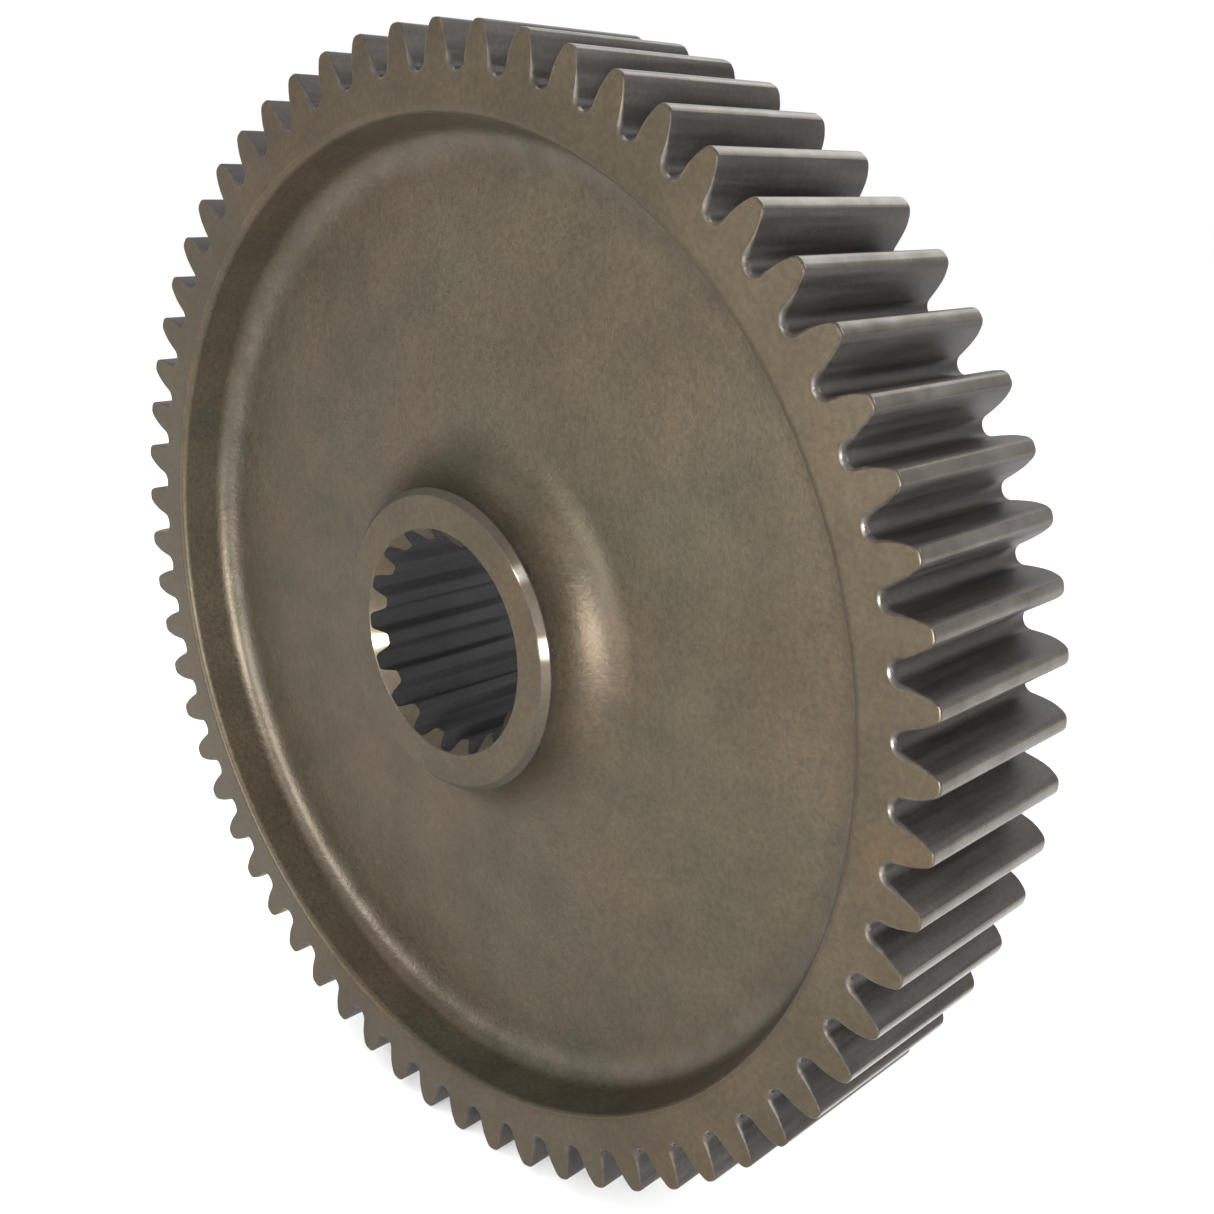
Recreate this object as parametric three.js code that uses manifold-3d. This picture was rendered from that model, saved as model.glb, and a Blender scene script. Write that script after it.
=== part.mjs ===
// Straight-toothed (spur) gear with a dished web and a splined hub bore.
// Millimetres. The gear's axis lies along Y, its front face looks towards -Y, and +Z is up.
// The origin is on the axis, half way through the face width.
import * as THREE from 'three';
import { mergeVertices } from 'three/addons/utils/BufferGeometryUtils.js';
import Module from 'manifold-3d';

const wasm = await Module();
wasm.setup();

// ---- Driving dimensions (mm, degrees) ----
const TOOTH_MODULE = 2.75;
const TEETH = 63;
const PRESSURE_ANGLE = 20;
const FIRST_TOOTH_ANGLE = 81.6; // centre of one tooth, measured from +X towards +Z
const ADDENDUM = 1.0 * TOOTH_MODULE;
const DEDENDUM = 1.25 * TOOTH_MODULE;
const ROOT_FILLET = 0.38 * TOOTH_MODULE;
const TIP_ROUND = 0.35; // how far the rounded tip corner reaches down the flank

const FACE_WIDTH = 30.75; // also the length of the hub
const WEB_THICKNESS = 11.95;

const RECESS_EDGE_R = 77.45; // where the recess wall meets the rim's flat face
const RECESS_DRAFT = 13.5;
const RECESS_FILLET = 3.3;

const HUB_R = 24.25;
const HUB_DRAFT = 7;
const HUB_FILLET = 9.0;
const NOSE_FLAT_R = 23.2; // outer edge of the hub's flat end face
const NOSE_CHAMFER = 45;

const SPLINE_TEETH = 16;
const SPLINE_MAJOR_R = 18.05;
const SPLINE_MINOR_R = 16.1;
const SPLINE_FIRST_TOOTH = 11.7; // centre of one internal tooth, from +X towards +Z
const SPLINE_ROOT_SHARE = 0.66; // a tooth's width at its root, as a share of the pitch
const SPLINE_TIP_SHARE = 0.3;
const SPLINE_LEAD_R = 18.2; // outer edge of the lead-in chamfer
const SPLINE_LEAD = 42;

const SECTION_GAP = 0.3; // clear gap where two sections meet

// ---- Resolution ----
const ROUND_STEPS = 72;
const ARC_STEPS = 5;
const FLANK_STEPS = 3;

// ---- Worked-out dimensions ----
const HALF_FACE = FACE_WIDTH / 2;
const HALF_WEB = WEB_THICKNESS / 2;
const PITCH_R = (TOOTH_MODULE * TEETH) / 2;
const TIP_R = PITCH_R + ADDENDUM;
const ROOT_R = PITCH_R - DEDENDUM;
const CUT_OVER = 1.0; // how far a cutting solid runs past the face it cuts

const rad = THREE.MathUtils.degToRad;
const involute = (angle) => Math.tan(angle) - angle;

// Half of a tooth's angular width at a radius, from the involute of the base circle.
function halfToothAngle(radius) {
  const base = PITCH_R * Math.cos(rad(PRESSURE_ANGLE));
  const atPitch = Math.PI / (2 * TEETH);
  return atPitch + involute(rad(PRESSURE_ANGLE)) - involute(Math.acos(base / radius));
}

function polar(radius, angle) {
  return new THREE.Vector2(radius * Math.cos(angle), radius * Math.sin(angle));
}

// One side of a tooth from the root circle to the tip circle, as [radius, angle from the tooth's centre].
function toothSide() {
  const flankStart = ROOT_R + 0.75 * ROOT_FILLET;
  const flankEnd = TIP_R - TIP_ROUND;
  const startAngle = halfToothAngle(flankStart);
  const filletAngle = startAngle + (0.9 * ROOT_FILLET) / ROOT_R;
  const side = [
    [ROOT_R, filletAngle],
    [ROOT_R + 0.22 * ROOT_FILLET, startAngle + (0.3 * ROOT_FILLET) / ROOT_R],
  ];
  for (let i = 0; i <= FLANK_STEPS; i += 1) {
    const radius = flankStart + ((flankEnd - flankStart) * i) / FLANK_STEPS;
    side.push([radius, halfToothAngle(radius)]);
  }
  side.push([TIP_R, halfToothAngle(TIP_R) - (0.6 * TIP_ROUND) / TIP_R]);
  return side;
}

// The whole toothed outline, anticlockwise.
function toothedOutline() {
  const rising = toothSide();
  const falling = [...rising].reverse();
  const points = [];
  for (let tooth = 0; tooth < TEETH; tooth += 1) {
    const centre = rad(FIRST_TOOTH_ANGLE) + (2 * Math.PI * tooth) / TEETH;
    rising.forEach(([radius, angle]) => points.push(polar(radius, centre - angle)));
    falling.forEach(([radius, angle]) => points.push(polar(radius, centre + angle)));
  }
  return points;
}

// The bore's outline: sixteen teeth pointing inwards.
function splineOutline() {
  const pitch = (2 * Math.PI) / SPLINE_TEETH;
  const points = [];
  for (let tooth = 0; tooth < SPLINE_TEETH; tooth += 1) {
    const centre = rad(SPLINE_FIRST_TOOTH) + pitch * tooth;
    points.push(polar(SPLINE_MAJOR_R, centre - (SPLINE_ROOT_SHARE / 2) * pitch));
    points.push(polar(SPLINE_MINOR_R, centre - (SPLINE_TIP_SHARE / 2) * pitch));
    points.push(polar(SPLINE_MINOR_R, centre));
    points.push(polar(SPLINE_MINOR_R, centre + (SPLINE_TIP_SHARE / 2) * pitch));
    points.push(polar(SPLINE_MAJOR_R, centre + (SPLINE_ROOT_SHARE / 2) * pitch));
    points.push(polar(SPLINE_MAJOR_R, centre + pitch / 2));
  }
  return points;
}

// A concave fillet standing on the front web face. It starts on the web at webR and
// bends towards the wall: side +1 turns outwards to the rim, -1 turns inwards to the hub.
function webFillet(webR, radius, draft, side) {
  const points = [];
  const last = rad(90 - draft);
  for (let i = 0; i <= ARC_STEPS; i += 1) {
    const turn = (last * i) / ARC_STEPS;
    const r = webR + side * radius * Math.sin(turn);
    const y = -HALF_WEB - radius * (1 - Math.cos(turn));
    points.push(new THREE.Vector2(r, y));
  }
  return points;
}

// How far from the web's edge of a fillet its drafted wall reaches the height of the face.
function filletReach(radius, draft, height) {
  const turn = rad(90 - draft);
  const risen = radius * (1 - Math.cos(turn));
  return radius * Math.sin(turn) + (height - risen) * Math.tan(rad(draft));
}

const RECESS_DEPTH = HALF_FACE - HALF_WEB;
const RIM_WEB_R = RECESS_EDGE_R - filletReach(RECESS_FILLET, RECESS_DRAFT, RECESS_DEPTH);
const HUB_WEB_R = HUB_R + filletReach(HUB_FILLET, HUB_DRAFT, RECESS_DEPTH);

// Adds the same points on the back, so that the profile runs from the front face to the back one.
function mirrorToBack(front) {
  const back = [...front].reverse().map((point) => new THREE.Vector2(point.x, -point.y));
  return [...front, ...back];
}

// Turns a closed mesh into a solid that can be cut and joined.
function toSolid(geometry) {
  const bare = geometry.index ? geometry.toNonIndexed() : geometry.clone();
  bare.deleteAttribute('normal');
  bare.deleteAttribute('uv');
  const merged = mergeVertices(bare, 1e-4);
  return new wasm.Manifold(new wasm.Mesh({
    numProp: 3,
    vertProperties: new Float32Array(merged.attributes.position.array),
    triVerts: new Uint32Array(merged.index.array),
  }));
}

function toGeometry(solid) {
  const mesh = solid.getMesh();
  const geometry = new THREE.BufferGeometry();
  geometry.setAttribute('position', new THREE.BufferAttribute(mesh.vertProperties, 3));
  geometry.setIndex(new THREE.BufferAttribute(mesh.triVerts, 1));
  geometry.computeVertexNormals();
  return geometry;
}

// A solid of revolution about Y from a profile that starts and ends on the axis.
function turned(profile) {
  return toSolid(new THREE.LatheGeometry(profile, ROUND_STEPS));
}

// A prism along Y, centred on the origin, from an outline drawn in X and Z.
function prism(outline, length) {
  const geometry = new THREE.ExtrudeGeometry(new THREE.Shape(outline), {
    depth: length,
    bevelEnabled: false,
  });
  geometry.rotateX(Math.PI / 2);
  geometry.translate(0, length / 2, 0);
  return toSolid(geometry);
}

function plug(radius, length) {
  return turned([
    new THREE.Vector2(0, -length / 2),
    new THREE.Vector2(radius, -length / 2),
    new THREE.Vector2(radius, length / 2),
    new THREE.Vector2(0, length / 2),
  ]);
}

// The rim: all the gear teeth, both flat faces and the two drafted recess walls.
function toothedRim() {
  const overR = RECESS_EDGE_R + CUT_OVER * Math.tan(rad(RECESS_DRAFT));
  const front = [
    new THREE.Vector2(0, -HALF_FACE - CUT_OVER),
    new THREE.Vector2(overR, -HALF_FACE - CUT_OVER),
    ...webFillet(RIM_WEB_R, RECESS_FILLET, RECESS_DRAFT, 1).reverse(),
  ];
  const inside = turned(mirrorToBack(front));
  return prism(toothedOutline(), FACE_WIDTH).subtract(inside);
}

// The web: a flat plate between the hub's fillets and the rim's fillets.
function webDisc() {
  return plug(RIM_WEB_R - SECTION_GAP, WEB_THICKNESS).subtract(
    plug(HUB_WEB_R + SECTION_GAP, WEB_THICKNESS + CUT_OVER),
  );
}

// The hub: a boss with a chamfered nose on both sides and a broached spline bore.
function splinedHub() {
  const noseDrop = (HUB_R - NOSE_FLAT_R) * Math.tan(rad(NOSE_CHAMFER));
  const front = [
    new THREE.Vector2(0, -HALF_FACE),
    new THREE.Vector2(NOSE_FLAT_R, -HALF_FACE),
    new THREE.Vector2(HUB_R, -HALF_FACE + noseDrop),
    ...webFillet(HUB_WEB_R, HUB_FILLET, HUB_DRAFT, -1).reverse(),
  ];
  const body = turned(mirrorToBack(front));
  const bore = prism(splineOutline(), FACE_WIDTH + 2 * CUT_OVER);
  const leadDrop = SPLINE_LEAD_R * Math.tan(rad(SPLINE_LEAD));
  const overR = SPLINE_LEAD_R + CUT_OVER / Math.tan(rad(SPLINE_LEAD));
  const frontLead = turned([
    new THREE.Vector2(0, -HALF_FACE - CUT_OVER),
    new THREE.Vector2(overR, -HALF_FACE - CUT_OVER),
    new THREE.Vector2(0, -HALF_FACE + leadDrop),
  ]);
  const backLead = frontLead.mirror([0, 1, 0]);
  return body.subtract(bore).subtract(frontLead).subtract(backLead);
}

function section(name, solid, color, roughness) {
  const material = new THREE.MeshStandardMaterial({ color, roughness, metalness: 0.85 });
  const mesh = new THREE.Mesh(toGeometry(solid), material);
  mesh.name = name;
  return mesh;
}

const group = new THREE.Group();
group.add(section('toothed_rim', toothedRim(), 0x5f564a, 0.5));
group.add(section('web_disc', webDisc(), 0x665e50, 0.6));
group.add(section('splined_hub', splinedHub(), 0x6a5f52, 0.5));

export default group;
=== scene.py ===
"""Spur gear with a dished web and a splined hub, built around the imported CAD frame.

Everything is in metres, in the CAD model's frame: the axis lies along Y, the front face
looks towards -Y and +Z is up. Each piece is a stack of closed rings of points that runs
once round its cross-section.
"""
import math

import bpy
import numpy as np
from mathutils import Euler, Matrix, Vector


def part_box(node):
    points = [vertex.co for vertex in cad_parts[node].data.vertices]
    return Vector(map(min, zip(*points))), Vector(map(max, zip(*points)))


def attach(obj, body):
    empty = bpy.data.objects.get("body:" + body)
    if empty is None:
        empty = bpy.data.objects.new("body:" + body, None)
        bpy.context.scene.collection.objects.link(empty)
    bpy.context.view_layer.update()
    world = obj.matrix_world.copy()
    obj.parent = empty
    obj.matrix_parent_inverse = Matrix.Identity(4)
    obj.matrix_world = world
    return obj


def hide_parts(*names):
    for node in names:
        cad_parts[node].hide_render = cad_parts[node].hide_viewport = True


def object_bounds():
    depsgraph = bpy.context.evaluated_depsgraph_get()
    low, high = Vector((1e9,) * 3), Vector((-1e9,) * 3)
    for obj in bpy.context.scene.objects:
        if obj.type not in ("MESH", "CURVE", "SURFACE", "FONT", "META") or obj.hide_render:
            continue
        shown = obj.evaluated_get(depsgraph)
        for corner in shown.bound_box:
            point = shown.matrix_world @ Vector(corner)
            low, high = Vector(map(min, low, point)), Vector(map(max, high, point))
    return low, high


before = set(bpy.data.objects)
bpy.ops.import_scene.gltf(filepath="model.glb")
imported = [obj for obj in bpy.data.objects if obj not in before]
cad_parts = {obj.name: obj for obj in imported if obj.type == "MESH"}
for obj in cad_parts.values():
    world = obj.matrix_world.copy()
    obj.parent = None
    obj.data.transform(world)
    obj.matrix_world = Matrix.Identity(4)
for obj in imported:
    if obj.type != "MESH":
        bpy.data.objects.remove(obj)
cad_box = [list(corner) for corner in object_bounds()]

MM = 0.001

# ---- Sizes read from the frame ----
HALF_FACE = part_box("splined_hub")[1].y
HALF_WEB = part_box("web_disc")[1].y
SECTION_GAP = 0.3 * MM
RIM_WEB_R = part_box("web_disc")[1].x + SECTION_GAP
HUB_WEB_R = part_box("splined_hub")[1].x

# ---- Gear teeth: the CAD model's gear, with rounder gap bottoms and tip corners ----
TEETH = 63
MODULE = 2.75 * MM
PRESSURE_ANGLE = math.radians(20)
FIRST_TOOTH = math.radians(81.6)
TIP_CLEARANCE = 0.004 * MM
PITCH_R = MODULE * TEETH / 2
TIP_R = PITCH_R + MODULE - TIP_CLEARANCE
ROOT_R = PITCH_R - 1.25 * MODULE
ROOT_FILLET = 0.38 * MODULE
FOOT_HEIGHT = 0.8 * ROOT_FILLET
FOOT_SPREAD = 0.35 * ROOT_FILLET
TIP_CORNER = 1.0 * MM
TIP_CORNER_ON_LAND = 0.8 * TIP_CORNER

# ---- Turned shapes ----
RECESS_EDGE_R = 77.45 * MM
RECESS_EDGE_ROUND = 1.4 * MM
RECESS_DRAFT = math.radians(13.5)
RECESS_BLEND_WALL = 3.4 * MM
RECESS_BLEND_WEB = 6.0 * MM
HUB_R = 24.25 * MM
HUB_DRAFT = math.radians(7)
HUB_FILLET = 9.0 * MM
NOSE_FLAT_R = 23.2 * MM
NOSE_CHAMFER = math.radians(45)
NOSE_OUTER_ROUND = 0.5 * MM
NOSE_INNER_ROUND = 0.4 * MM

# ---- Spline ----
SPLINE_TEETH = 16
SPLINE_MAJOR_R = 18.05 * MM
SPLINE_MINOR_R = 16.1 * MM
SPLINE_FIRST_TOOTH = math.radians(11.7)
SPLINE_ROOT_SHARE = 0.64
SPLINE_TIP_SHARE = 0.3
SPLINE_ROOT_CORNER = 0.55 * MM
SPLINE_TIP_CORNER = 0.45 * MM
SPLINE_LEAD_R = 18.2 * MM
SPLINE_LEAD = math.radians(42)
SPLINE_LEAD_ROUND = 0.2 * MM

# ---- Broken edges at the tooth ends ----
ROOT_BREAK = 0.85 * MM
ROOT_BREAK_DEPTH = 4.2 * MM
FLANK_BREAK = 0.22 * MM
FRONT_TIP_DROP = 0.15 * MM
BACK_TIP_DROP = 1.0 * MM
DROP_DEPTH = 2.6 * MM
LAND_DEPTH = 0.4 * MM

# ---- Worn and rubbed places, painted highlights and a painted shade; a level runs from 0 to 1 ----
EDGE_ROUND_LIMIT = 1 * MM
WEAR_REACH = 0.2 * MM
NOSE_EDGE_WEAR = 0.3
# The lands are painted lighter: worn metal, and a painted highlight.
LAND_WEAR_AND_HIGHLIGHT = 0.9
# How wide the painted glint at the middle of each gap is.
GAP_GLINT_WIDTH = 0.15
HUB_POLISH = 0.08
# The middle of the recess blend is polished and painted lighter, a painted highlight.
RECESS_POLISH_AND_HIGHLIGHT = 0.42
RECESS_EDGE_WEAR = 0.5
RECESS_EDGE_DEPTH = 1.5 * MM
# Painted glints: how far each reaches round the axis, and its full-strength core.
GLINT_REACH = math.radians(5)
GLINT_CORE = 0.2
# Two painted glints on the nose chamfer: lighter worn colour, smoother and fully metallic.
CHAMFER_GLINTS = np.radians([10, 38])
# Painted shade: the nose chamfer is painted darker in the bore's colour away from its glints,
# and made rougher and less metallic.
CHAMFER_DULL_AND_SHADE = 0.4
# A painted glint on one lead-in tooth of the spline, at this angle.
LEAD_GLINTS = np.radians([191.7])

# ---- How far the turned faces and the nose chamfer are marked as such ----
RIM_TURNED_FROM_R = RECESS_EDGE_R + 0.3 * MM
HUB_TURNED_TO_R = HUB_R + 0.2 * MM
CHAMFER_FROM_R = NOSE_FLAT_R - 0.3 * MM
CHAMFER_TO_R = HUB_R + 0.1 * MM

# ---- Where a flat face changes between an outline's own angles and even ones ----
RIM_ZIP_OUTER_R = ROOT_R - 1.5 * MM
RIM_ZIP_INNER_R = ROOT_R - 2.2 * MM
NOSE_ZIP_OUTER_R = SPLINE_LEAD_R + 1.2 * MM
NOSE_ZIP_INNER_R = SPLINE_LEAD_R + 0.9 * MM

# ---- Resolution ----
ROUND_STEPS = 360
ARC_STEP = math.radians(9)
FEWEST_ARC_STEPS = 3
FOOT_STEPS = 8
FLANK_STEPS = 5
TIP_STEPS = 6
SPLINE_CORNER_STEPS = 4
BREAK_STEPS = 6
RIM_BLEND_STEPS = 9
WEB_BLEND_STEPS = 5
WEB_FLAT_STEPS = 12
BLEND_SAMPLES = 2001

FRONT = np.array([0.0, -1.0, 0.0])


# ---------------------------------------------------------------- rings and skins

class Ring:
    """One closed ring of points round the axis.

    before and after are the normals that the strips on either side of the ring use.
    wear_and_highlight says how worn the surface is there and where it carries a painted
    highlight; turned, cut and stain say how lathe-turned, gear-cut or stained it is. On
    the nose chamfer, cut also carries a painted shade.
    """

    def __init__(self, points, normals, wear_and_highlight=0.0, turned=0.0, cut=0.0, stain=0.0, after=None):
        self.points = points
        self.before = normals
        self.after = normals if after is None else after
        self.wear_and_highlight = wear_and_highlight
        self.turned = turned
        self.cut = cut
        self.stain = stain

    def angles(self):
        return np.unwrap(np.arctan2(self.points[:, 2], self.points[:, 0]))

    def mirrored(self):
        """The same ring, mirrored to the back."""
        flip = np.array([1.0, -1.0, 1.0])
        return Ring(self.points * flip, self.before * flip, self.wear_and_highlight, self.turned,
                    self.cut, self.stain, self.after * flip)

    def turned_about(self):
        """The same ring, for a section that is walked backwards."""
        return Ring(self.points, self.after, self.wear_and_highlight, self.turned, self.cut, self.stain,
                    self.before)


def quads(a, b, count):
    """Faces between two rings with the same number of points."""
    i = np.arange(count)
    j = (i + 1) % count
    return np.stack([a + i, b + i, b + j, a + j], axis=1).tolist()


def zip_rings(a, angles_a, b, angles_b):
    """Triangles between two rings with different numbers of points, walked by angle."""
    count_a, count_b = len(angles_a), len(angles_b)
    turn = 2 * math.pi
    first_a = angles_a[0] % turn
    shift = (angles_b - first_a) % turn
    start_b = int(np.argmin(shift))
    walk_b = np.sort(shift)
    walk_a = angles_a - angles_a[0]
    walk_a = np.append(walk_a, turn)
    walk_b = np.append(walk_b, walk_b[0] + turn)
    faces = []
    i = j = 0
    while i < count_a or j < count_b:
        here_a, here_b = a + i % count_a, b + (start_b + j) % count_b
        if j >= count_b or (i < count_a and walk_a[i + 1] <= walk_b[j + 1]):
            i += 1
            faces.append([here_a, here_b, a + i % count_a])
        else:
            j += 1
            faces.append([here_a, here_b, b + (start_b + j) % count_b])
    return faces


def skin(name, front_half, back_half=None):
    """A closed mesh from the rings of a section, each half walked from outside to inside.

    Both halves are drawn on the front; the back half is mirrored to its own side.
    """
    back_half = front_half if back_half is None else back_half
    rings = [ring.mirrored() for ring in back_half]
    rings += [ring.turned_about() for ring in reversed(front_half)]
    starts = np.cumsum([0] + [len(ring.points) for ring in rings])
    points = np.concatenate([ring.points for ring in rings])
    faces, normals = [], []
    for k, ring in enumerate(rings):
        other = rings[(k + 1) % len(rings)]
        a, b = starts[k], starts[(k + 1) % len(rings)]
        if len(ring.points) == len(other.points):
            strip = quads(a, b, len(ring.points))
        else:
            strip = zip_rings(a, ring.angles(), b, other.angles())
        sides = {False: (ring.after, a), True: (other.before, b)}
        for face in strip:
            faces.append(face)
            for vertex in face:
                source, start = sides[b <= vertex < b + len(other.points)]
                normals.append(source[vertex - start])
    mesh = bpy.data.meshes.new(name)
    mesh.from_pydata(points.tolist(), [], faces)
    mesh.validate()
    for layer in ("wear_and_highlight", "turned", "cut", "stain"):
        values = [np.broadcast_to(getattr(ring, layer), len(ring.points)) for ring in rings]
        attribute = mesh.attributes.new(layer, "FLOAT", "POINT")
        attribute.data.foreach_set("value", np.concatenate(values).astype(np.float32))
    mesh.shade_smooth()
    mesh.normals_split_custom_set(np.array(normals).tolist())
    piece = bpy.data.objects.new(name, mesh)
    bpy.context.scene.collection.objects.link(piece)
    return piece


# ---------------------------------------------------------------- outlines and profiles

def polar(radius, angle):
    return np.array([radius * math.cos(angle), radius * math.sin(angle)])


def bend(start, corner, end, steps):
    """Points of a quadratic curve that rounds a corner, without its last point."""
    t = np.linspace(0, 1, steps, endpoint=False)[:, None]
    return (1 - t) ** 2 * start + 2 * t * (1 - t) * corner + t ** 2 * end


def outline_normals(outline, outwards):
    """Unit normals of a closed outline in X and Z, on its outer or its inner side."""
    along = np.roll(outline, -1, axis=0) - np.roll(outline, 1, axis=0)
    along /= np.linalg.norm(along, axis=1)[:, None]
    side = 1 if outwards else -1
    return side * np.stack([along[:, 1], -along[:, 0]], axis=1)


def lift(flat, y):
    """Points of the X-Z plane as points in space at the heights y along the axis."""
    return np.stack([flat[:, 0], np.broadcast_to(y, len(flat)), flat[:, 1]], axis=1)


def involute(angle):
    return math.tan(angle) - angle


def half_tooth_angle(radius):
    """Half a tooth's angular width at a radius."""
    base = PITCH_R * math.cos(PRESSURE_ANGLE)
    at_pitch = math.pi / (2 * TEETH)
    return at_pitch + involute(PRESSURE_ANGLE) - involute(math.acos(base / radius))


def tooth_half():
    """Half a tooth about +X, from the middle of the gap below it to the start of its land."""
    foot_r = ROOT_R + FOOT_HEIGHT
    foot = polar(foot_r, -half_tooth_angle(foot_r))
    gap_middle = polar(ROOT_R, -math.pi / TEETH)
    foot_corner = polar(ROOT_R, -half_tooth_angle(foot_r) - FOOT_SPREAD / ROOT_R)
    shoulder_r = TIP_R - TIP_CORNER
    shoulder = polar(shoulder_r, -half_tooth_angle(shoulder_r))
    tip_corner = polar(TIP_R, -half_tooth_angle(TIP_R))
    land_end = polar(TIP_R, -half_tooth_angle(TIP_R) + TIP_CORNER_ON_LAND / TIP_R)
    flank_radii = np.linspace(foot_r, shoulder_r, FLANK_STEPS + 1)[:-1]
    return np.concatenate([
        bend(gap_middle, foot_corner, foot, FOOT_STEPS),
        [polar(r, -half_tooth_angle(r)) for r in flank_radii],
        bend(shoulder, tip_corner, land_end, TIP_STEPS),
        [land_end],
    ])


def copies_round(part, count, first):
    """The part, drawn about +X, repeated round the axis as one closed outline."""
    turns = first + 2 * math.pi * np.arange(count) / count
    c, s = np.cos(turns)[:, None], np.sin(turns)[:, None]
    x = c * part[:, 0] - s * part[:, 1]
    z = s * part[:, 0] + c * part[:, 1]
    return np.stack([x.ravel(), z.ravel()], axis=1)


def gear_outline():
    half = tooth_half()
    land_middle = [polar(TIP_R, 0)]
    other = (half * [1, -1])[::-1][:-1]
    return copies_round(np.concatenate([half, land_middle, other]), TEETH, FIRST_TOOTH)


def rounded_corners(corners, steps):
    """A closed outline from corners given as (point, how far the rounding reaches)."""
    points = []
    for k, (here, reach) in enumerate(corners):
        if reach == 0:
            points.append(here)
            continue
        before, after = corners[k - 1][0], corners[(k + 1) % len(corners)][0]
        start = here + reach * (before - here) / np.linalg.norm(before - here)
        end = here + reach * (after - here) / np.linalg.norm(after - here)
        points.extend(bend(start, here, end, steps))
        points.append(end)
    return np.array(points)


def spline_outline():
    """The bore's outline, with sixteen teeth pointing inwards."""
    pitch = 2 * math.pi / SPLINE_TEETH
    root, tip = SPLINE_ROOT_SHARE / 2 * pitch, SPLINE_TIP_SHARE / 2 * pitch
    corners = []
    for tooth in range(SPLINE_TEETH):
        centre = SPLINE_FIRST_TOOTH + pitch * tooth
        corners += [
            (polar(SPLINE_MAJOR_R, centre - root), SPLINE_ROOT_CORNER),
            (polar(SPLINE_MINOR_R, centre - tip), SPLINE_TIP_CORNER),
            (polar(SPLINE_MINOR_R, centre), 0),
            (polar(SPLINE_MINOR_R, centre + tip), SPLINE_TIP_CORNER),
            (polar(SPLINE_MAJOR_R, centre + root), SPLINE_ROOT_CORNER),
            (polar(SPLINE_MAJOR_R, centre + pitch / 2), 0),
        ]
    return rounded_corners(corners, SPLINE_CORNER_STEPS)


def recess_corner():
    """The foot of the recess wall, and how the blend reaches up the wall and into the web."""
    depth = HALF_FACE - HALF_WEB
    corner = np.array([RECESS_EDGE_R - depth * math.tan(RECESS_DRAFT), -HALF_WEB])
    down_wall = np.array([-math.sin(RECESS_DRAFT), math.cos(RECESS_DRAFT)])
    return corner, RECESS_BLEND_WALL * down_wall, RECESS_BLEND_WEB * np.array([-1.0, 0.0])


def recess_blend(first, last, steps):
    """Profile rows of the soft fillet at the foot of the recess wall.

    It is a quadratic curve that runs out further into the web than up the wall. first
    and last say which stretch of it to draw; 0 is on the wall and 1 on the web. The
    middle of the curve is rubbed smoother and more metallic, and painted a little
    lighter as a painted highlight.
    """
    corner, before, after = recess_corner()
    rows = []
    for t in np.linspace(first, last, steps + 1):
        at = corner - (1 - t) ** 2 * before + t ** 2 * after
        way = (1 - t) * before + t * after
        way /= np.linalg.norm(way)
        # Polished and painted lighter in the middle: a painted highlight.
        rows.append([*at, -way[1], way[0], RECESS_POLISH_AND_HIGHLIGHT * math.sin(math.pi * t)])
    return rows


def blend_share_at(radius):
    """How far along the recess blend it crosses a radius."""
    corner, before, after = recess_corner()
    t = np.linspace(0, 1, BLEND_SAMPLES)
    radii = corner[0] - (1 - t) ** 2 * before[0] + t ** 2 * after[0]
    return float(np.interp(-radius, -radii, t))


def profile(corners):
    """A turned profile walked from outside to inside, as rows of (r, y, nr, ny, wear).

    Each corner is (r, y, radius); radius 0 keeps the point as it is. A corner with a
    small radius is an edge, and edges are worn. A larger one is only rubbed a little.
    """
    rows = []
    nodes = [np.array(corner[:2]) for corner in corners]
    for k, (r, y, radius) in enumerate(corners):
        ahead = nodes[min(k + 1, len(nodes) - 1)] - nodes[min(k, len(nodes) - 2)]
        behind = nodes[max(k, 1)] - nodes[max(k - 1, 0)]
        ahead, behind = ahead / np.linalg.norm(ahead), behind / np.linalg.norm(behind)
        if radius == 0:
            rows.append([r, y, -ahead[1], ahead[0], 0])
            continue
        cross = behind[0] * ahead[1] - behind[1] * ahead[0]
        turn = math.atan2(cross, behind @ ahead)
        reach = radius * math.tan(abs(turn) / 2)
        side = math.copysign(1, turn)
        start = nodes[k] - reach * behind
        centre = start + side * radius * np.array([-behind[1], behind[0]])
        is_edge = radius < EDGE_ROUND_LIMIT
        if is_edge:
            guard = start - WEAR_REACH * behind
            rows.append([*guard, -behind[1], behind[0], 0])
        steps = max(FEWEST_ARC_STEPS, math.ceil(abs(turn) / ARC_STEP))
        for i in range(steps + 1):
            a = turn * i / steps
            way = np.array([behind[0] * math.cos(a) - behind[1] * math.sin(a),
                            behind[0] * math.sin(a) + behind[1] * math.cos(a)])
            normal = np.array([-way[1], way[0]])
            at = centre - side * radius * normal
            rubbed = HUB_POLISH * math.sin(math.pi * i / steps)
            rows.append([*at, *normal, 1 if is_edge else rubbed])
        if is_edge:
            guard = nodes[k] + (reach + WEAR_REACH) * ahead
            rows.append([*guard, -ahead[1], ahead[0], 0])
    return rows


def turned_ring(row, angles, **marks):
    """The ring that one row of a profile draws."""
    r, y, nr, ny, wear_and_highlight = row
    c, s = np.cos(angles), np.sin(angles)
    points = np.stack([r * c, np.full_like(c, y), r * s], axis=1)
    normals = np.stack([nr * c, np.full_like(c, ny), nr * s], axis=1)
    return Ring(points, normals, wear_and_highlight=wear_and_highlight, **marks)


ROUND = np.arange(ROUND_STEPS) * 2 * math.pi / ROUND_STEPS


# ---------------------------------------------------------------- the three pieces

def smooth_step(value):
    value = np.clip(value, 0, 1)
    return value * value * (3 - 2 * value)


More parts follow.
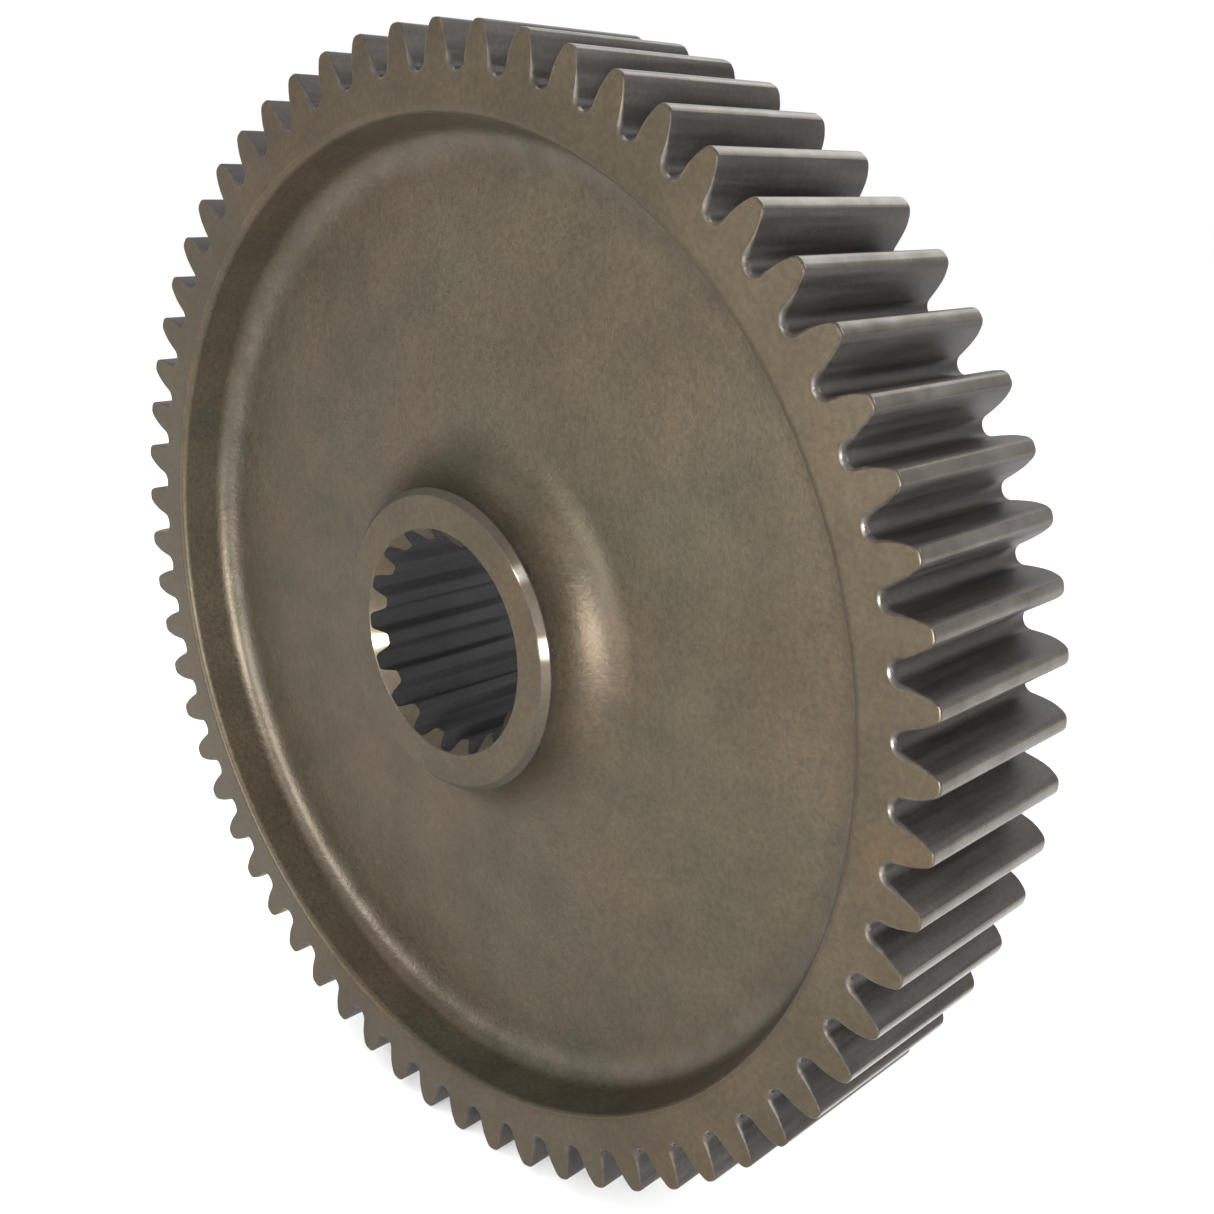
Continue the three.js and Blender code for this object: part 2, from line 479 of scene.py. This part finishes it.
def glint_spots(angles, places):
    """How near each angle is to one of the painted glints, from 0 to 1."""
    away = np.abs((angles[:, None] - places + math.pi) % (2 * math.pi) - math.pi)
    return smooth_step(1 + GLINT_CORE - away.min(axis=1) / GLINT_REACH)


def broken_end(outline, normals, tip_drop):
    """Rings that carry the toothed side over its broken edge on to the front face.

    The edge is filed back widest at the roots of the gaps, and at the middle of each gap
    it carries a painted highlight on smoother, fully metallic metal. The tips are also
    rounded off towards the face, by tip_drop.
    """
    radii = np.linalg.norm(outline, axis=1)
    outwards = outline / radii[:, None]
    around = TEETH * (np.arctan2(outline[:, 1], outline[:, 0]) - FIRST_TOOTH)
    at_root = smooth_step(1 - (radii - ROOT_R) / ROOT_BREAK_DEPTH)
    at_tip = smooth_step((radii - TIP_R) / DROP_DEPTH + 1)
    # Painted highlight: a glint at the middle of each gap's broken edge.
    gap_glint = smooth_step(1 - (1 + np.cos(around)) / GAP_GLINT_WIDTH)
    on_land = smooth_step((radii - TIP_R) / LAND_DEPTH + 1)
    inset = FLANK_BREAK + (ROOT_BREAK - FLANK_BREAK) * at_root
    drop = tip_drop * at_tip
    reach = inset + drop
    depth = inset + drop * np.maximum((normals * outwards).sum(axis=1), 0)
    filed = inset[:, None] * normals + drop[:, None] * outwards
    side = lift(normals, 0.0)
    flat = np.tile(FRONT, (len(outline), 1))
    side_end = lift(outline, -HALF_FACE + reach + WEAR_REACH)
    # The lands are painted lighter: worn metal, and a painted highlight.
    rings = [Ring(side_end, side, wear_and_highlight=LAND_WEAR_AND_HIGHLIGHT * on_land, cut=1 - on_land, turned=on_land)]
    for step in range(BREAK_STEPS + 1):
        share = step / BREAK_STEPS
        to_side, to_front = math.cos(share * math.pi / 2), math.sin(share * math.pi / 2)
        tilted = (to_side * reach)[:, None] * side + (to_front * depth)[:, None] * FRONT
        tilted /= np.linalg.norm(tilted, axis=1)[:, None]
        points = lift(outline - (1 - to_side) * filed, -HALF_FACE + (1 - to_front) * reach)
        hump = math.sin(share * math.pi)
        faced = share ** 3
        rings.append(Ring(
            points, tilted,
            wear_and_highlight=np.maximum(gap_glint * hump, (1 - share) * LAND_WEAR_AND_HIGHLIGHT * on_land),
            turned=np.maximum(faced, on_land),
            cut=(1 - faced) * (1 - on_land),
            stain=hump * (1 - on_land),
        ))
    face = outline - filed - WEAR_REACH * normals
    rings.append(Ring(lift(face, -HALF_FACE), flat, turned=1))
    return rings


def rim_rings(tip_drop):
    """The rings of one half of the rim, from the sides of the teeth down to the web."""
    outline = gear_outline()
    rings = broken_end(outline, outline_normals(outline, outwards=True), tip_drop)
    under_teeth = [RIM_ZIP_OUTER_R, -HALF_FACE, 0, -1, 0]
    rings.append(turned_ring(under_teeth, rings[-1].angles(), turned=1.0))
    blend = recess_blend(0, blend_share_at(RIM_WEB_R), RIM_BLEND_STEPS)
    rows = profile([
        (RIM_ZIP_INNER_R, -HALF_FACE, 0),
        (RECESS_EDGE_R, -HALF_FACE, RECESS_EDGE_ROUND),
        (*blend[0][:2], 0),
    ])
    rows = rows[:-1] + blend
    for row in rows:
        if row[1] < -HALF_FACE + RECESS_EDGE_DEPTH:
            row[4] *= RECESS_EDGE_WEAR
        on_face = row[0] > RIM_TURNED_FROM_R
        rings.append(turned_ring(row, ROUND, turned=1.0 if on_face else 0.0))
    return rings


def web_rings():
    """The rings of the web plate, which carries the end of the recess blend."""
    rows = recess_blend(blend_share_at(RIM_WEB_R), 1, WEB_BLEND_STEPS)
    flat_radii = np.linspace(rows[-1][0], HUB_WEB_R, WEB_FLAT_STEPS + 1)[1:]
    rows += [[r, -HALF_WEB, 0, -1, 0] for r in flat_radii]
    return [turned_ring(row, ROUND) for row in rows]


def boss_rings():
    """The rings of the hub's outside: fillet, drafted wall, chamfer and flat nose."""
    depth = HALF_FACE - HALF_WEB
    nose_drop = (HUB_R - NOSE_FLAT_R) * math.tan(NOSE_CHAMFER)
    foot_r = HUB_R + (depth - nose_drop) * math.tan(HUB_DRAFT)
    rows = profile([
        (HUB_WEB_R, -HALF_WEB, 0),
        (foot_r, -HALF_WEB, HUB_FILLET),
        (HUB_R, -HALF_FACE + nose_drop, NOSE_OUTER_ROUND),
        (NOSE_FLAT_R, -HALF_FACE, NOSE_INNER_ROUND),
        (NOSE_ZIP_OUTER_R, -HALF_FACE, 0),
    ])
    rings = []
    for row in rows:
        if row[0] >= HUB_TURNED_TO_R:
            rings.append(turned_ring(row, ROUND))
            continue
        on_chamfer = CHAMFER_FROM_R < row[0] < CHAMFER_TO_R
        # Two painted glints on the nose chamfer: lighter worn colour, smoother and fully
        # metallic.
        glint = on_chamfer * glint_spots(ROUND, CHAMFER_GLINTS)
        row[4] = NOSE_EDGE_WEAR * row[4] * (1 - on_chamfer) + glint
        # Painted shade on the nose chamfer, through the cut layer: darker bore colour,
        # rougher and less metallic, except at the painted glints.
        dull_and_shade = CHAMFER_DULL_AND_SHADE * on_chamfer * (1 - glint)
        rings.append(turned_ring(row, ROUND, turned=1.0, cut=dull_and_shade))
    return rings


def bore_rings():
    """The rings of the nose's inner edge, the conical lead-in and the splined bore."""
    outline = spline_outline()
    angles = np.arctan2(outline[:, 1], outline[:, 0])
    radii = np.linalg.norm(outline, axis=1)
    lead_depth = (SPLINE_LEAD_R - SPLINE_MINOR_R) * math.tan(SPLINE_LEAD)
    rows = profile([
        (NOSE_ZIP_INNER_R, -HALF_FACE, 0),
        (SPLINE_LEAD_R, -HALF_FACE, SPLINE_LEAD_ROUND),
        (SPLINE_MINOR_R, -HALF_FACE + lead_depth, 0),
    ])
    # A painted glint on one lead-in tooth: lighter worn colour, smoother and fully metallic.
    glint = glint_spots(angles, LEAD_GLINTS)
    rings = []
    for row in rows[:-2]:
        row[4] = NOSE_EDGE_WEAR * row[4] + (row[0] < SPLINE_LEAD_R) * glint
        rings.append(turned_ring(row, angles, turned=1.0))
    cone = rings[-1].after
    bore = lift(outline_normals(outline, outwards=False), 0.0)
    mouth = lift(outline, -HALF_FACE + (SPLINE_LEAD_R - radii) * math.tan(SPLINE_LEAD))
    rings.append(Ring(mouth, cone, wear_and_highlight=glint, turned=1.0, after=bore))
    rings.append(Ring(mouth + [0, WEAR_REACH, 0], bore, cut=1.0))
    return rings


rim = skin("rim_with_teeth", rim_rings(FRONT_TIP_DROP), rim_rings(BACK_TIP_DROP))
web = skin("web_plate", web_rings())
hub = skin("hub_with_spline", boss_rings() + bore_rings())


# ---------------------------------------------------------------- materials

class Nodes:
    """Small helpers for writing one material's nodes."""

    def __init__(self, name):
        self.material = bpy.data.materials.new(name)
        self.material.use_nodes = True
        self.tree = self.material.node_tree
        self.shader = self.tree.nodes["Principled BSDF"]
        self.place = self.tree.nodes.new("ShaderNodeTexCoord").outputs["Object"]

    def link(self, source, target):
        self.tree.links.new(source, target)

    def feed(self, value, socket):
        """Sets a socket to a number or a colour, or links another socket to it."""
        if isinstance(value, (int, float)):
            socket.default_value = value
        elif isinstance(value, tuple):
            socket.default_value = (*value, 1)
        else:
            self.link(value, socket)

    def noise(self, scale, detail, roughness=0.5, stretch=None):
        node = self.tree.nodes.new("ShaderNodeTexNoise")
        node.inputs["Scale"].default_value = scale
        node.inputs["Detail"].default_value = detail
        node.inputs["Roughness"].default_value = roughness
        place = self.place
        if stretch is not None:
            mapping = self.tree.nodes.new("ShaderNodeMapping")
            mapping.inputs["Scale"].default_value = stretch
            self.link(place, mapping.inputs["Vector"])
            place = mapping.outputs["Vector"]
        self.link(place, node.inputs["Vector"])
        return node.outputs["Fac"]

    def attribute(self, name):
        node = self.tree.nodes.new("ShaderNodeAttribute")
        node.attribute_name = name
        return node.outputs["Fac"]

    def spread(self, value, low, high, to_low=0.0, to_high=1.0):
        """Stretches a value from one range to another, and clamps it."""
        node = self.tree.nodes.new("ShaderNodeMapRange")
        node.inputs["From Min"].default_value = low
        node.inputs["From Max"].default_value = high
        node.inputs["To Min"].default_value = to_low
        node.inputs["To Max"].default_value = to_high
        self.link(value, node.inputs["Value"])
        return node.outputs["Result"]

    def maths(self, operation, a, b):
        node = self.tree.nodes.new("ShaderNodeMath")
        node.operation = operation
        self.feed(a, node.inputs[0])
        self.feed(b, node.inputs[1])
        return node.outputs["Value"]

    def mix(self, factor, a, b):
        """Mixes two colours: inputs 6 and 7 and output 2 of the Mix node."""
        node = self.tree.nodes.new("ShaderNodeMix")
        node.data_type = "RGBA"
        self.link(factor, node.inputs["Factor"])
        self.feed(a, node.inputs[6])
        self.feed(b, node.inputs[7])
        return node.outputs[2]

    def blend(self, factor, a, b):
        """Mixes two plain values: inputs 2 and 3 and output 0 of the Mix node."""
        node = self.tree.nodes.new("ShaderNodeMix")
        node.data_type = "FLOAT"
        self.link(factor, node.inputs["Factor"])
        self.feed(a, node.inputs[2])
        self.feed(b, node.inputs[3])
        return node.outputs[0]

    def scaled(self, colour, value):
        """A colour times a plain value."""
        node = self.tree.nodes.new("ShaderNodeVectorMath")
        node.operation = "SCALE"
        self.link(colour, node.inputs[0])
        self.link(value, node.inputs["Scale"])
        return node.outputs["Vector"]

    def bump(self, height, distance, strength, below=None):
        node = self.tree.nodes.new("ShaderNodeBump")
        node.inputs["Strength"].default_value = strength
        node.inputs["Distance"].default_value = distance
        self.link(height, node.inputs["Height"])
        if below is not None:
            self.link(below, node.inputs["Normal"])
        return node.outputs["Normal"]


# ---- Colours ----
FORGED = (0.0460, 0.0362, 0.0230)
FORGED_GREEN = (0.0440, 0.0380, 0.0248)
FORGED_BROWN = (0.0465, 0.0348, 0.0222)
TURNED = (0.0505, 0.0363, 0.0215)
TURNED_GREY = (0.0505, 0.0407, 0.0260)
CUT = (0.044, 0.0385, 0.034)
CUT_DARK = (0.0285, 0.0245, 0.022)
BORE = (0.0225, 0.0212, 0.0215)
WORN_AND_HIGHLIGHT = (0.21, 0.195, 0.175)
OCHRE = (0.17, 0.115, 0.045)

# ---- Roughness, and how metallic each surface is ----
FORGED_ROUGH = (0.40, 0.50)
TURNED_ROUGH = (0.40, 0.46)
CUT_ROUGH = 0.46
BORE_ROUGH = 0.66
CUT_ROUGH_SPREAD = 0.04
WORN_ROUGH = 0.22
FORGED_METALLIC = 0.56
TURNED_METALLIC = 0.72
CUT_METALLIC = 0.35
SPECULAR = 0.22

# ---- Bump ----
GRAIN_HEIGHT = 0.09 * MM
WAVE_HEIGHT = 0.25 * MM
MACHINED_GRAIN = 0.15


def steel(name, cut_light=CUT, cut_dark=CUT_DARK, cut_rough=CUT_ROUGH):
    """Dark oxidised gear steel: forged skin, turned faces and cut teeth in one material."""
    n = Nodes(name)
    wear_and_highlight, turned, cut = (n.attribute(a) for a in ("wear_and_highlight", "turned", "cut"))
    patches = n.spread(n.noise(scale=14, detail=3), 0.40, 0.60)
    blotches = n.spread(n.noise(scale=48, detail=5, roughness=0.62), 0.48, 0.66)
    streaks = n.spread(n.noise(scale=700, detail=3, stretch=(1, 0.06, 1)), 0.38, 0.62)
    speckle = n.noise(scale=1400, detail=3, roughness=0.6)

    forged_colour = n.mix(blotches, n.mix(patches, FORGED_GREEN, FORGED), FORGED_BROWN)
    colour = n.mix(turned, forged_colour, n.mix(blotches, TURNED_GREY, TURNED))
    colour = n.mix(cut, colour, n.mix(streaks, cut_dark, cut_light))
    colour = n.scaled(colour, n.spread(speckle, 0.3, 0.7, 0.82, 1.14))
    colour = n.scaled(colour, n.spread(n.noise(scale=95, detail=4), 0.35, 0.65, 0.88, 1.10))
    wear_and_highlight_patches = n.spread(n.noise(scale=190, detail=4), 0.30, 0.72, 0.3, 0.85)
    # Worn metal, and painted highlights at the glints, gap bottoms, recess blend and lands,
    # all in the lighter worn colour.
    colour = n.mix(n.maths("MULTIPLY", n.maths("POWER", wear_and_highlight, 2.0), wear_and_highlight_patches), colour, WORN_AND_HIGHLIGHT)
    stains = n.spread(n.noise(scale=55, detail=1), 0.66, 0.74, 0.0, 0.6)
    colour = n.mix(n.maths("MULTIPLY", n.attribute("stain"), stains), colour, OCHRE)
    n.link(colour, n.shader.inputs["Base Color"])

    rough = n.spread(speckle, 0.3, 0.7, *FORGED_ROUGH)
    rough = n.blend(turned, rough, n.spread(blotches, 0, 1, *TURNED_ROUGH))
    cut_range = (cut_rough - CUT_ROUGH_SPREAD, cut_rough + CUT_ROUGH_SPREAD)
    rough = n.blend(cut, rough, n.spread(streaks, 0, 1, *cut_range))
    n.link(n.blend(wear_and_highlight, rough, WORN_ROUGH), n.shader.inputs["Roughness"])

    metallic = n.blend(cut, n.blend(turned, FORGED_METALLIC, TURNED_METALLIC), CUT_METALLIC)
    n.link(n.blend(wear_and_highlight, metallic, 1.0), n.shader.inputs["Metallic"])
    n.shader.inputs["Specular IOR Level"].default_value = SPECULAR

    forged = n.maths("SUBTRACT", 1.0, n.maths("MAXIMUM", turned, cut))
    depth = n.blend(forged, MACHINED_GRAIN, 1.0)
    waves = n.maths("MULTIPLY", n.noise(scale=150, detail=2), depth)
    grain = n.maths("MULTIPLY", n.noise(scale=1100, detail=3, roughness=0.65), depth)
    coarse = n.bump(waves, distance=WAVE_HEIGHT, strength=0.5)
    fine = n.bump(grain, distance=GRAIN_HEIGHT, strength=0.8, below=coarse)
    n.link(fine, n.shader.inputs["Normal"])
    return n.material


for piece, node, slot, look in (
    (rim, "toothed_rim", "rim_steel", steel("rim_steel")),
    (web, "web_disc", "web_steel", steel("web_steel")),
    (hub, "splined_hub", "hub_steel", steel("hub_steel", BORE, BORE, BORE_ROUGH)),
):
    piece.data.materials.append(look)
    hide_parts(node)
    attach(piece, "root")


# ---------------------------------------------------------------- floor, lights and camera

FLOOR_REACH = 8.0
FLOOR_WHITE = 0.98
FLOOR_ROUGH = 0.9

# Just over 1, so that the floor and the backdrop both come out plain white.
BACKDROP_LEVEL = 1.02

# The camera's place is given in tip radii from the middle of the front face.
CAMERA_AZIMUTH = math.radians(44.49)
CAMERA_ELEVATION = math.radians(17.88)
CAMERA_PLACE = (1.83498, -1.45068, 0.73773)
CAMERA_SHIFT = 0.0347
CLIP_START = 0.01
SENSOR_WIDTH = 36
LENS = 41.4


def plain_floor():
    """A flat pale floor under the gear's lowest tooth."""
    mesh = bpy.data.meshes.new("floor")
    corners = [(-1, -1), (1, -1), (1, 1), (-1, 1)]
    ground = cad_box[0][2]
    points = [(FLOOR_REACH * x, FLOOR_REACH * y, ground) for x, y in corners]
    mesh.from_pydata(points, [], [(0, 1, 2, 3)])
    floor = bpy.data.objects.new("floor", mesh)
    bpy.context.scene.collection.objects.link(floor)
    paint = bpy.data.materials.new("floor_paint")
    paint.use_nodes = True
    shader = paint.node_tree.nodes["Principled BSDF"]
    shader.inputs["Base Color"].default_value = (FLOOR_WHITE, FLOOR_WHITE, FLOOR_WHITE, 1)
    shader.inputs["Roughness"].default_value = FLOOR_ROUGH
    shader.inputs["Specular IOR Level"].default_value = 0.0
    mesh.materials.append(paint)


def softbox(name, place, size, power):
    """A round soft light that faces the middle of the gear."""
    light = bpy.data.lights.new(name, "AREA")
    light.shape = "DISK"
    light.size = size
    light.energy = power
    lamp = bpy.data.objects.new(name, light)
    lamp.location = place
    lamp.rotation_euler = (-Vector(place)).to_track_quat("-Z", "Y").to_euler()
    bpy.context.scene.collection.objects.link(lamp)


def pale_world(level):
    """The same soft light from all round, which is also the backdrop."""
    world = bpy.data.worlds.new("studio")
    world.use_nodes = True
    background = world.node_tree.nodes["Background"]
    background.inputs["Color"].default_value = (1, 1, 1, 1)
    background.inputs["Strength"].default_value = level
    bpy.context.scene.world = world


def camera():
    data = bpy.data.cameras.new("camera")
    data.sensor_width = SENSOR_WIDTH
    data.lens = LENS
    data.shift_y = CAMERA_SHIFT
    data.clip_start = CLIP_START
    cam = bpy.data.objects.new("camera", data)
    cam.location = Vector(CAMERA_PLACE) * TIP_R + Vector((0, -HALF_FACE, 0))
    cam.rotation_euler = Euler((math.pi / 2 - CAMERA_ELEVATION, 0, CAMERA_AZIMUTH))
    bpy.context.scene.collection.objects.link(cam)
    bpy.context.scene.camera = cam


plain_floor()
pale_world(BACKDROP_LEVEL)
softbox("front_wide", (-0.18, -0.93, 0.01), 0.45, 8.8)
softbox("front_right", (0.32, -0.40, -0.01), 0.25, 6.2)
softbox("overhead", (-0.3, -0.45, 1.25), 0.9, 3.4)
softbox("right_back", (0.9, 0.6, 0.8), 0.6, 4.5)
softbox("back_top", (0.0, 0.85, 0.85), 0.9, 3.2)
softbox("lamp_high", (0.355, -0.966, 0.618), 0.04, 2.2)
softbox("lamp_low", (0.683, -0.986, -0.045), 0.04, 1.0)
camera()
bpy.context.scene.view_settings.view_transform = "Standard"
